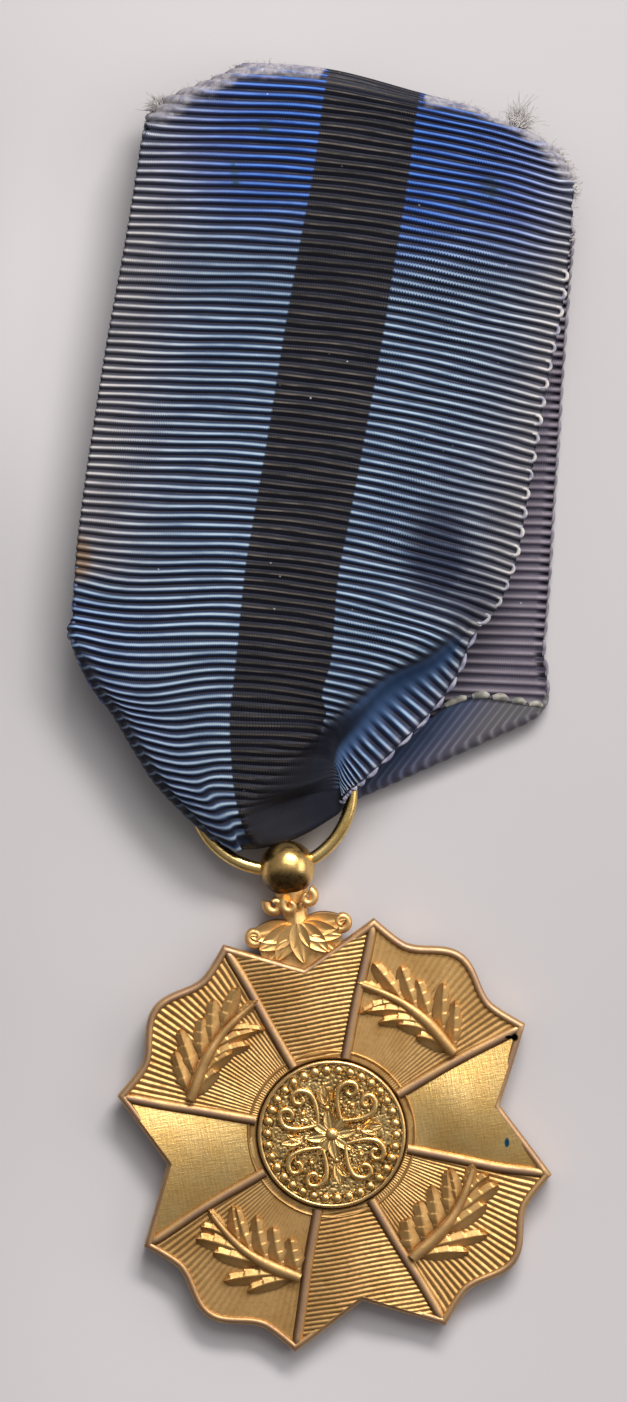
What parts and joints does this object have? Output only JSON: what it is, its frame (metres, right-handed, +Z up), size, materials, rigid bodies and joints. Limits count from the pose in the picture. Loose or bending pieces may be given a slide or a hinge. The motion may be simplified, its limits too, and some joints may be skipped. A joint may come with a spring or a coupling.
{
  "type": "order medal",
  "caption": "Cross-shaped gilt order medal with a round centre medallion, hung by a ball and a ring from a folded striped ribbon, lying face up.",
  "frame": {"origin": "middle of the object's outline, on the surface that it lies on", "axes": "+Z up out of the surface, through the cross's front; +Y from the cross towards the top of the ribbon; +X to the right when looking down on the front"},
  "size_m": [0.0426, 0.1089, 0.0064],
  "materials": {
    "gilt": "worn satin gilding, darker in the hollows, rubbed rosy on the ridges",
    "aged_gilt": "worn gilding over a granular ground, brown in the hollows",
    "ring_gilt": "worn polished gilding",
    "corded_silk": "corded silk with cross ribs, blue with a black centre stripe, frayed at the top"
  },
  "bodies": {
    "root": {"badge": "gilt", "medallion": "aged_gilt", "ring": "ring_gilt", "ribbon": "corded_silk"}
  },
  "joints": []
}
